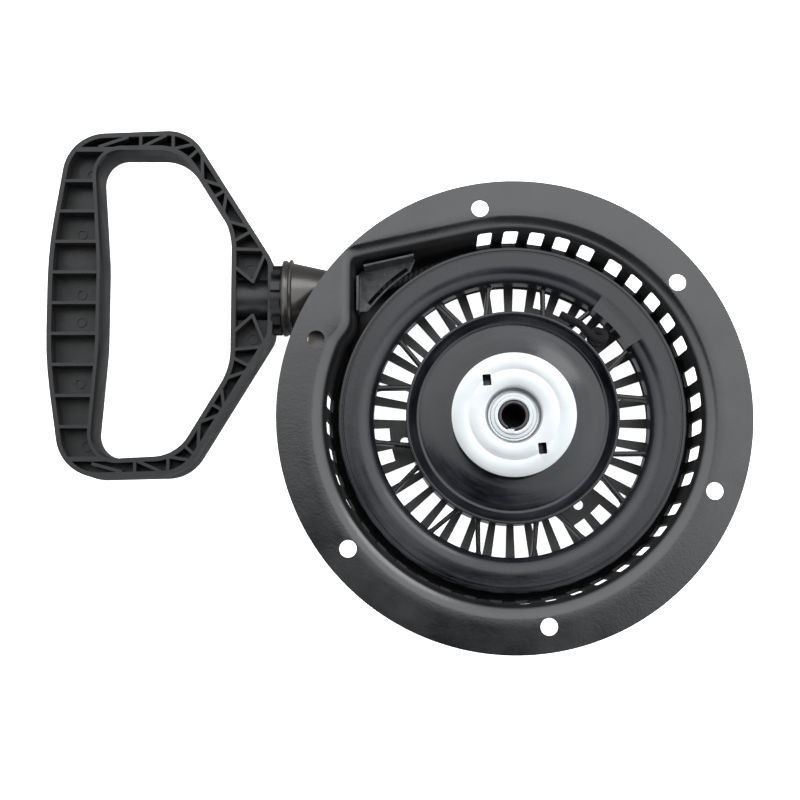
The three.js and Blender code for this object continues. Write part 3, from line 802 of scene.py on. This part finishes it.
def pulley():
    """A rope groove and a drum, joined by eight pairs of spokes."""
    rim = rounded([
        (68, RING_REAR_Z, 0), (RING_OUTER_R, RING_REAR_Z, 0.5), (RING_OUTER_R, GROOVE_Z[0] - 0.4, 0.5),
        (GROOVE_R, GROOVE_Z[0], 1.2), (GROOVE_R, GROOVE_Z[1], 1.2), (RING_OUTER_R, GROOVE_Z[1] + 0.4, 0.5),
        (RING_OUTER_R, RING_FACE_Z - 0.2, 0.5), (81.9, RING_FACE_Z - 0.2, 0), (81.7, RING_FACE_Z - 0.9, 0),
        (81.1, RING_FACE_Z - 0.9, 0), (80.8, RING_FACE_Z, 0), (75, RING_FACE_Z, 0),
        (RING_INNER_R + 4.4, RING_FACE_Z, 9), (RING_INNER_R, RING_FACE_Z - 3.4, 3),
        (RING_INNER_R, RING_REAR_Z, 0.5), (68, RING_REAR_Z, 0),
    ])[:-1]
    drum = rounded([
        (30, 27.4, 0), (44, 26, 3), (48, 22, 2), (48, DRUM_REAR_Z, 0.4), (DRUM_R, DRUM_REAR_Z, 0.4),
        (DRUM_R, DRUM_RIM_Z, 0.45), (49.8, DRUM_RIM_Z, 0.45), (48.8, 33.2, 1.5), (45.2, 30.6, 3),
        (36, 33.0, 40), (29, BOWL_FLOOR_Z, 8), (POST_R + 0.4, BOWL_FLOOR_Z, 0), (POST_R + 0.4, 6.2, 0),
        (14.6, 6.2, 0), (14.6, 27.4, 2), (30, 27.4, 0),
    ])[:-1]
    body = lathe("pulley_wheel", drum, 144)
    combine(body, lathe("rim", rim, 180), "UNION")
    spokes = [spoke(SPOKE_PAIR_START + 45 * pair, side) for pair in range(8) for side in (-1, 1)]
    combine(body, merged("spokes", spokes), "UNION")
    start, stop = ANCHOR_POCKET_ANGLES
    inner = arc(RING_INNER_R - 0.9, stop, start)
    pocket = arc(RING_INNER_R + 2.6, start, stop) + inner
    combine(body, prism("pocket", pocket, 17, RING_FACE_Z - 0.02), "UNION")
    pocket_top = arc(RING_INNER_R + 7.5, start, stop) + inner
    combine(body, prism("pocket_top", pocket_top, RING_FACE_Z - 1.8, RING_FACE_Z - 0.03), "UNION")
    pegs = [rod_at(PEG_CIRCLE_R, degrees, PEG_R, BOWL_FLOOR_Z - 1, 44.2, 32) for degrees in PEG_ANGLES]
    combine(body, merged("pegs", pegs), "UNION")
    hole = place(rod("anchor", 2.6, 60, 72, 32), Matrix.Rotation(math.pi / 2, 4, "Y"))
    place(hole, spin(KNOT_ANGLE, z=ROPE_Z))
    combine(body, hole, "DIFFERENCE")
    outward(body)
    smooth(body, 30)
    return finish_piece(body, "pulley", "pulley_plastic", ["pulley"])


# ---- retainer, pin, washers, dogs --------------------------------------------------------
def retainer():
    """A disc with a fine turned line, a well round the pin and two holes."""
    top = RETAINER_TOP_Z
    groove_r = 21.5
    bore = PIN_R + 0.4
    profile = rounded([
        (bore, WELL_FLOOR_Z - 1.3, 0), (WELL_R + 1.1, WELL_FLOOR_Z - 1.3, 1), (WELL_R + 1.3, 42, 1),
        (15.6, top - 1.6, 1), (RETAINER_R, top - 1.6, 0.2), (RETAINER_R, top, 0.35),
        (groove_r + 0.25, top, 0), (groove_r, top - 0.03, 0), (groove_r - 0.25, top, 0),
        (13.8, top, 0.5), (12.8, 45.4, 0.4), (WELL_R, 44.2, 0.5), (WELL_R, WELL_FLOOR_Z, 0.3),
        (bore, WELL_FLOOR_Z, 0),
    ], 15)
    disc = lathe("retainer_disc", profile, 192)
    holes = []
    for degrees in RETAINER_HOLE_ANGLES:
        hole = prism("hole", box_outline(-1.95, -2.65, 1.95, 2.65, 0.5, 15), 42, 48)
        holes.append(place(hole, spin(5, *polar(RETAINER_HOLE_CIRCLE_R, degrees))))
    combine(disc, merged("holes", holes), "DIFFERENCE")
    bevel(disc, 0.2, 2, 50)
    smooth(disc, 20)
    return finish_piece(disc, "retainer", "zinc_plate", ["retainer"])


def spring_pin():
    """A rolled sleeve with a slit, chamfered at its mouth."""
    half_slit = 5.5
    start = PIN_SLIT_ANGLE + half_slit
    stop = PIN_SLIT_ANGLE + 360 - half_slit
    outline = arc(PIN_R, start, stop, 64) + arc(PIN_BORE_R, stop, start, 64)
    sleeve = prism("spring_pin_sleeve", outline, *PIN_Z)
    bevel(sleeve, 0.35, 2, 50)
    smooth(sleeve, 25)
    return finish_piece(sleeve, "housing", "spring_steel", ["spring_pin"])


def retainer_washer():
    """A stepped washer in the retainer's well, with a tab over the spring pin."""
    low = WELL_FLOOR_Z + 0.3
    inner = PIN_R + 0.3
    ring = lathe("well_washer", rounded([
        (8, low, 0), (11, low, 0.15), (11, low + 0.7, 0.2), (9.3, low + 0.6, 0.1), (9.2, low + 1.2, 0.2),
        (inner, low + 1.2, 0.3), (inner, low, 0.15), (8, low, 0),
    ], 20)[:-1], 96)
    tab = prism("tab", rounded([
        (-3.3, -8.3, 0), (0.5, -8.6, 0), (0.2, -6.6, 0.3), (-2.9, -6.4, 0.3), (-3.3, -8.3, 0),
    ])[:-1], low + 1.0, 42.3)
    combine(ring, tab, "UNION")
    smooth(ring, 25)
    return finish_piece(ring, "housing", "zinc_plate", ["retainer_washer"])


def dog(letter, degrees):
    """A flat pawl that swings on its peg."""
    outline = filleted([
        (-4.6, -4.2, 2.5), (4.4, -4.4, 3), (5, 8, 3), (1.2, 20.6, 0.8), (-1.8, 20.8, 0.8), (-2.2, 12, 6),
        (-5, 4.6, 3),
    ], 0, 10)
    pawl = prism("starter_dog_" + letter, outline, *DOG_Z)
    combine(pawl, rod("hole", PEG_R + 0.3, 37, 45, 32), "DIFFERENCE")
    bevel(pawl, 0.35, 2, 50)
    place(pawl, spin(degrees + DOG_REST_ANGLE, *polar(PEG_CIRCLE_R, degrees)))
    smooth(pawl, 25)
    return finish_piece(pawl, "dog_" + letter, "plain_steel", ["dog_" + letter])


def coil(name, radius, wire, z0, z1, turns, centre, body, node):
    """A helical spring of round wire that fills z0 to z1."""
    points = []
    steps = int(turns * 24)
    for i in range(steps + 1):
        x, y = polar(radius, 360 * turns * i / steps)
        z = z0 + wire + (z1 - z0 - 2 * wire) * i / steps
        points.append((centre[0] + x, centre[1] + y, z))
    obj = tube(name, points, wire, 10)
    return finish_piece(obj, body, "spring_steel", [node])


# ---- rope --------------------------------------------------------------------------------
def frames(points):
    """Centre points with two directions across the path, carried along without twist."""
    points = [Vector(p) for p in points]
    along = tangents(points)
    seed = Vector((0, 0, 1)) if abs(along[0].z) < 0.9 else Vector((1, 0, 0))
    across = along[0].cross(seed).normalized()
    out = []
    for point, tangent in zip(points, along):
        across = (across - tangent * across.dot(tangent)).normalized()
        out.append((point, across, tangent.cross(across)))
    return out


def swept(frame_list, section):
    """Vertices and faces of a closed section, a function of the step, moved along the frames."""
    verts = []
    for i, (centre, across, up) in enumerate(frame_list):
        verts.extend(centre + across * a + up * b for a, b in section(i))
    return verts, skin(len(section(0)), len(frame_list))


def tube(name, points, radius, sides):
    """Round stock along a path."""
    section = circle(radius, sides)
    verts, faces = swept(frames(points), lambda i: section)
    obj = make_object(name, verts, faces)
    outward(obj)
    smooth(obj, 60)
    return obj


def spline(points, step):
    """Evenly spaced points on a Catmull-Rom curve through the points given."""
    control = [Vector(p) for p in points]
    control = [control[0] * 2 - control[1]] + control + [control[-1] * 2 - control[-2]]
    fine = []
    for p0, p1, p2, p3 in zip(control, control[1:], control[2:], control[3:]):
        for k in range(24):
            t = k / 24
            fine.append(0.5 * (2 * p1 + (p2 - p0) * t + (2 * p0 - 5 * p1 + 4 * p2 - p3) * t * t
                               + (3 * p1 - p0 - 3 * p2 + p3) * t ** 3))
    fine.append(control[-2])
    out = [fine[0]]
    travelled = 0.0
    for before, after in zip(fine, fine[1:]):
        gap = (after - before).length
        while travelled + gap >= step:
            share = (step - travelled) / gap
            before = before + (after - before) * share
            out.append(before)
            gap = (after - before).length
            travelled = 0.0
        travelled += gap
    return out


def braided(name, points, radius, step=0.45):
    """Rope with its strands as geometry: two sets of flat strands that pass over and under."""
    path = frames(spline(points, step))
    strands = 6
    pitch = 15.0
    middle = radius * 0.72
    lift = radius * 0.07
    core = circle(radius * 0.66, 10)
    parts = [swept(path, lambda i: core)]
    for direction in (-1, 1):
        for s in range(strands):
            def section(i, direction=direction, s=s):
                turn = 360 * (direction * i * step / pitch + s / strands)
                phase = 2 * math.pi * i * step / pitch * strands + (0 if direction > 0 else math.pi)
                cx, cy = polar(middle + lift * math.cos(phase + 2 * math.pi * s), turn)
                out_x, out_y = polar(1, turn)
                wide, thick = radius * 0.30, radius * 0.19
                return [
                    (cx + out_x * thick * math.sin(a) - out_y * wide * math.cos(a),
                     cy + out_y * thick * math.sin(a) + out_x * wide * math.cos(a))
                    for a in (2 * math.pi * k / 6 for k in range(6))
                ]
            parts.append(swept(path, section))
    verts = []
    faces = []
    for part_verts, part_faces in parts:
        base = len(verts)
        verts.extend(part_verts)
        faces.extend(tuple(v + base for v in face) for face in part_faces)
    obj = make_object(name, verts, faces)
    outward(obj)
    smooth(obj, 70)
    return obj


def rope_end():
    """The knot inside the pulley's rim, and the free tail past it."""
    cx, cy = polar(KNOT_R, KNOT_ANGLE)
    out = Vector((*polar(1, KNOT_ANGLE), 0))
    side = Vector((-out.y, out.x, 0))
    turns = [
        (11, 0, -2.2), (6.5, 0, -2.0), (2.2, -2.4, -0.6), (-2.0, -3.0, 1.0), (-3.6, 0.2, 0.6),
        (-1.6, 3.0, -1.0), (2.0, 2.6, -1.0), (3.2, -0.8, 1.0), (0.8, -2.6, 2.4), (-1.6, 0.4, 2.4),
        (-2.0, 4.0, 1.6),
    ]
    points = [Vector((cx, cy, 24.4)) + out * a + side * b + Vector((0, 0, c)) for a, b, c in turns]
    points += [Vector((33.6, 45.9, 25.0)), Vector((30.2, 47.9, 24.2)), Vector((24, 51.4, 23.2))]
    obj = braided("rope_end", points, ROPE_R * 0.96)
    return finish_piece(obj, "pulley", "rope_fibre", ["pulley_knot", "rope_tail"])


def handle_knot():
    """An overhand knot: a trefoil, not quite closed."""
    centre = Vector((-128.3, HUB_Y, HANDLE_Z))
    points = []
    for i in range(0, 49, 2):
        t = 2 * math.pi * i / 49 * 0.97
        x = 1.3125 * math.sin(3 * t)
        y = 1.029 * (math.sin(t) + 2 * math.sin(2 * t))
        z = 1.029 * (math.cos(t) - 2 * math.cos(2 * t))
        points.append(centre + Vector((x, y, z)))
    obj = braided("handle_rope_knot", points, ROPE_R * 0.92)
    return finish_piece(obj, "handle", "rope_fibre", ["handle_knot"])


def wound_rope():
    """Four turns on the pulley, in two lanes and two layers."""
    points = []
    lanes = [(71.6, 20.1), (71.6, 24.7), (75.9, 24.7), (75.9, 20.1)]
    for turn, (r, z) in enumerate(lanes):
        after = lanes[min(turn + 1, len(lanes) - 1)]
        for k in range(90):
            share = float(smoothstep(k, 78, 90))
            x, y = polar(r + (after[0] - r) * share, KNOT_ANGLE + 4 * k)
            points.append((x, y, z + (after[1] - z) * share))
    obj = tube("wound_rope", points, ROPE_R - 0.1, 12)
    return finish_piece(obj, "pulley", "rope_fibre", ["rope_on_pulley"])


def rope_run():
    """From the pulley through the guide to the handle."""
    start = Vector((*polar(82.8, 111.5), ROPE_Z))
    points = [start, (-54, 68, ROPE_Z + 0.4), (-72, 61.6, ROPE_Z + 1.2), (-82, GUIDE_Y, HANDLE_Z),
              (-95, 58.5, HANDLE_Z), (-122.7, HUB_Y, HANDLE_Z)]
    obj = tube("rope_to_handle", spline(points, 1.0), ROPE_R, 24)
    finish_piece(obj, "housing", "rope_fibre", ["rope_run"], rope_braid())
    obj.parent = None
    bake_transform(obj)
    return obj


# ---- handle ------------------------------------------------------------------------------
HUB_AXIS = along_x(0, HUB_Y, HANDLE_Z)


def mid_line(x):
    """The handle's mid line droops a little from the hub to the grip."""
    return HANDLE_Y + HANDLE_LEAN * (x - HUB_X[1])


def mirrored(corners):
    """Both halves of an outline, from (x, distance from the mid line, radius)."""
    lower = [(x, mid_line(x) - v, r) for x, v, r in reversed(corners)]
    return lower + [(x, mid_line(x) + v, r) for x, v, r in corners]


OUTER = mirrored([(-115, 18, 12), (-156, 84.1, 20), (-214.9, 83.8, 21), (-223.7, 27, 200)])
OPENING = mirrored([(-135, 33.3, 32), (-160.4, 74.7, 20), (-200.7, 74.7, 13), (-196.2, 20, 150)])
TRUSS = (
    (-134, 16.3, -125, 8.6), (-124.8, 7.6, -118.5, 22.5), (-134.5, 24.5, -119, 23.6),
    (-135, 27.7, -125.5, 33), (-137.5, 38.4, -127, 35.2), (-139.2, 42.5, -137.8, 52),
    (-144.5, 50, -138, 53.9), (-149.5, 59, -140, 55.8), (-149.5, 60, -149.9, 74),
    (-157, 69.5, -150.5, 75.3), (-164.5, 74.9, -153.5, 77.1), (-164.1, 74, -164.1, 84),
    (-178.5, 76.8, -167.3, 82), (-179.9, 74, -179.9, 84), (-200.5, 77.2, -186, 81.6),
)
GRIP_RIB_X = (-226.0, -190.0)
EJECTOR_MARKS = (
    (-205.3, 120.6, 2.4), (-209.4, 90.8, 2.4), (-208.9, 61.0, 2.4), (-208.9, 47.4, 2.4),
    (-208.9, 17.2, 2.4), (-204.8, -13.1, 2.6), (-126.3, 72.7, 3.2), (-125.3, 38.8, 2.6),
)


def grip_pushed(x, y, distance):
    """Moves a point of the opening's edge away from its middle, along the grip only."""
    push = Vector((x + 170, (y - GRIP_MID_Y) * 0.5)).normalized()
    push *= distance * float(1 - smoothstep(x, -199, -182))
    return x + push.x, y + push.y


def opening_cutter():
    """The hand opening; along the grip its edge rolls back towards both faces."""
    outline = filleted(OPENING, 0, 4)
    half = HANDLE_DEPTH / 2
    upper = [half * share for share in (0.35, 0.6, 0.8, 0.92, 1)] + [half + 1]
    levels = [-level for level in reversed(upper)] + [0] + upper
    verts = []
    for level in levels:
        reach = 2.6 * (1 - math.sqrt(max(0.0, 1 - min(abs(level) / half, 1.0) ** 2)))
        verts.extend((*grip_pushed(x, y, reach), HANDLE_Z + level) for x, y in outline)
    cutter = make_object("opening", verts, skin(len(outline), len(levels)))
    outward(cutter)
    return cutter


def island_outline():
    """The wall that stays round the opening, wider along the rolled edge of the grip."""
    return [grip_pushed(x, y, 1.6) for x, y in filleted(OPENING, -HANDLE_WALL, 5)]


def rib_outlines():
    """The truss of both arms, the grip's two end walls and its nine cross ribs."""
    ribs = []
    for side in (-1, 1):
        for x0, v0, x1, v1 in TRUSS:
            ribs.append(bar_outline(x0, mid_line(x0) + side * v0, x1, mid_line(x1) + side * v1, RIB))
        end = GRIP_MID_Y + side * GRIP_END
        ribs.append(bar_outline(GRIP_RIB_X[0], end, GRIP_RIB_X[1], end, HANDLE_WALL))
    for i in range(-4, 5):
        rib = GRIP_MID_Y + GRIP_PITCH * i
        ribs.append(bar_outline(GRIP_RIB_X[0], rib, GRIP_RIB_X[1], rib, RIB))
    return ribs


def parting_groove():
    """A shallow groove all round, where the mould's halves met."""
    groove = prism("groove", filleted(OUTER, -1, 4), HANDLE_Z - 0.35, HANDLE_Z + 0.35)
    core = prism("core", filleted(OUTER, 0.35, 4), HANDLE_Z - 1, HANDLE_Z + 1)
    combine(groove, core, "DIFFERENCE")
    return groove


def ejector_marks():
    """Thin rings that the mould's pins left on the web."""
    marks = []
    for x, y, radius in EJECTOR_MARKS:
        ring = lathe("mark", [(radius - 0.5, -1), (radius, -1), (radius, 0.6), (radius - 0.5, 0.6)], 32)
        marks.append(place(ring, spin(0, x, y, HANDLE_Z + HANDLE_WEB / 2)))
    return merged("marks", marks)


def handle():
    """Walls, web and ribs left between hollows from both faces."""
    z0 = HANDLE_Z - HANDLE_DEPTH / 2
    z1 = HANDLE_Z + HANDLE_DEPTH / 2
    body = prism("pull_handle", filleted(OUTER, 0, 4), z0, z1)
    combine(body, opening_cutter(), "DIFFERENCE")
    for low, high in ((z0 - 1, HANDLE_Z - HANDLE_WEB / 2), (HANDLE_Z + HANDLE_WEB / 2, z1 + 1)):
        hollow = prism("hollow", filleted(OUTER, HANDLE_WALL, 5), low, high)
        combine(hollow, prism("island", island_outline(), low - 1, high + 1), "DIFFERENCE")
        for index, outline in enumerate(rib_outlines()):
            extra = 1 + 0.01 * index
            combine(hollow, prism("rib", outline, low - extra, high + extra), "DIFFERENCE")
        combine(body, hollow, "DIFFERENCE")
    combine(body, parting_groove(), "DIFFERENCE")
    combine(body, ejector_marks(), "UNION")
    combine(body, place(rod("hub", HUB_R, *HUB_X, 64), HUB_AXIS), "UNION")
    combine(body, collar(), "UNION")
    combine(body, place(rod("room", KNOT_ROOM_R, HUB_X[0] - 4, -121, 48), HUB_AXIS), "DIFFERENCE")
    combine(body, place(rod("bore", ROPE_R + 0.6, -122, -100, 32), HUB_AXIS), "DIFFERENCE")
    clean(body)
    outward(body)
    smooth(body, 25)
    return finish_piece(body, "handle", "handle_plastic", ["handle"])


def collar():
    """The castellated neck that seats on the guide's mouth."""
    end = GUIDE_MOUTH_X - 0.3
    neck = place(rod("neck", 14.6, HUB_X[1] - 1.4, end, 64), HUB_AXIS)
    teeth = []
    for i in range(12):
        tooth = prism("tooth", bar_outline(12, 0, 16.9, 0, 4.2), HUB_X[1] - 1.2, end - 0.4)
        place(tooth, spin(15 + 30 * i))
        teeth.append(place(tooth, HUB_AXIS))
    combine(neck, merged("teeth", teeth), "UNION")
    return neck


def handle_washer():
    left, right = HANDLE_WASHER_X
    ring = lathe("handle_rope_washer", rounded([
        (4, left, 0), (6.2, left, 0.3), (6.2, right, 0.3), (2.7, right, 0.3), (2.7, left, 0.3), (4, left, 0),
    ], 30)[:-1], 48)
    place(ring, HUB_AXIS)
    smooth(ring, 40)
    return finish_piece(ring, "handle", "plain_steel", ["handle_washer"])


# ---- stage -------------------------------------------------------------------------------
def camera():
    """Nearly overhead, a little to the left and below the pulley's axis."""
    data = bpy.data.cameras.new("camera")
    data.sensor_width = 36
    data.lens = 72.585
    obj = bpy.data.objects.new("camera", data)
    tilt_x = Matrix.Rotation(math.radians(-6.53), 3, "X")
    tilt_y = Matrix.Rotation(math.radians(-0.79), 3, "Y")
    turn = (tilt_x @ tilt_y).transposed()
    place_at = turn @ Vector((-53.6, 6.76, 757.0)) + Vector((0, 0, FLANGE_Z))
    obj.matrix_world = Matrix.Translation(place_at * MM) @ turn.to_4x4()
    bpy.context.scene.collection.objects.link(obj)
    bpy.context.scene.camera = obj


def floor():
    """A white ground that only the camera sees, so it throws no light on the parts."""
    reach = 4000
    corners = [(-reach, -reach), (reach, -reach), (reach, reach), (-reach, reach)]
    obj = make_object("floor", [(x, y, -0.4) for x, y in corners], [(0, 1, 2, 3)])
    material = bpy.data.materials.new("floor")
    material.use_nodes = True
    shader = material.node_tree.nodes["Principled BSDF"]
    set_inputs(shader, {
        "Base Color": (0.9, 0.9, 0.9, 1), "Roughness": 0.9, "Specular IOR Level": 0.0,
        "Emission Color": (1, 1, 1, 1), "Emission Strength": 1.0,
    })
    obj.data.materials.append(material)
    obj.visible_diffuse = False
    obj.visible_glossy = False


def lights():
    """A light tent: bright overhead, brighter on one side, with a dark patch near the camera."""
    world = bpy.data.worlds.new("studio")
    world.use_nodes = True
    tree = world.node_tree

    def add(kind, **values):
        node = tree.nodes.new(kind)
        for key, value in values.items():
            setattr(node, key, value)
        return node

    def towards(direction):
        node = add("ShaderNodeVectorMath", operation="DOT_PRODUCT")
        node.inputs[1].default_value = direction
        tree.links.new(coords, node.inputs[0])
        return node.outputs["Value"]

    def mapped(value, low, high, start, end):
        return map_range(tree, value, (low, high, start, end), "SMOOTHSTEP")

    def product(first, second):
        node = add("ShaderNodeMath", operation="MULTIPLY")
        tree.links.new(first, node.inputs[0])
        tree.links.new(second, node.inputs[1])
        return node.outputs[0]

    coords = add("ShaderNodeTexCoord").outputs["Generated"]
    height = add("ShaderNodeSeparateXYZ")
    tree.links.new(coords, height.inputs[0])
    overhead = mapped(height.outputs["Z"], 0.0, 0.85, 0.3, 2.9)
    outside = math.cos(math.radians(27))
    inside = math.cos(math.radians(17.5))
    hole = mapped(towards((-0.106, -0.290, 0.951)), outside, inside, 1.0, 0.0)
    lean = mapped(towards(Vector((0.3, 0.954, 0)).normalized()), -0.6, 0.5, 0.75, 1.15)
    background = tree.nodes["Background"]
    background.inputs["Color"].default_value = (0.97, 0.985, 1.0, 1)
    tree.links.new(product(product(overhead, hole), lean), background.inputs["Strength"])
    bpy.context.scene.world = world
    data = bpy.data.lights.new("key", "AREA")
    data.size = 0.7
    data.energy = 6
    obj = bpy.data.objects.new("key", data)
    spot = Vector((0.8, 1.0, 0.9))
    obj.matrix_world = Matrix.Translation(spot) @ spot.to_track_quat("Z", "Y").to_matrix().to_4x4()
    bpy.context.scene.collection.objects.link(obj)
    bpy.context.scene.view_settings.view_transform = "Standard"


def carried_nodes():
    """The hidden CAD nodes stay, each with the material of its slot."""
    slots = {entry["node"]: entry["material_slot"] for entry in frame["record"]["subparts"]}
    for node in ("centre_post", "thrust_washer", "spring_keeper", "recoil_spring"):
        for entry in frame["nodes"][node].material_slots:
            entry.material = MATERIALS[slots[node]]


camera()
floor()
lights()
housing()
rope_guide()
guide_plate()
pulley()
retainer()
spring_pin()
retainer_washer()
for letter, peg_angle in zip("ab", PEG_ANGLES):
    dog(letter, peg_angle)
    peg = polar(PEG_CIRCLE_R, peg_angle)
    coil("dog_coil_" + letter, 2.95, 0.33, SMALL_COIL_Z, 37.75, 1.8, peg, "pulley", "dog_spring_" + letter)
coil("brake_coil", 10.3, 0.55, SMALL_COIL_Z, 38.45, 1.7, (0, 0), "housing", "brake_spring")
rope_end()
wound_rope()
rope_run()
handle()
handle_washer()
handle_knot()
carried_nodes()
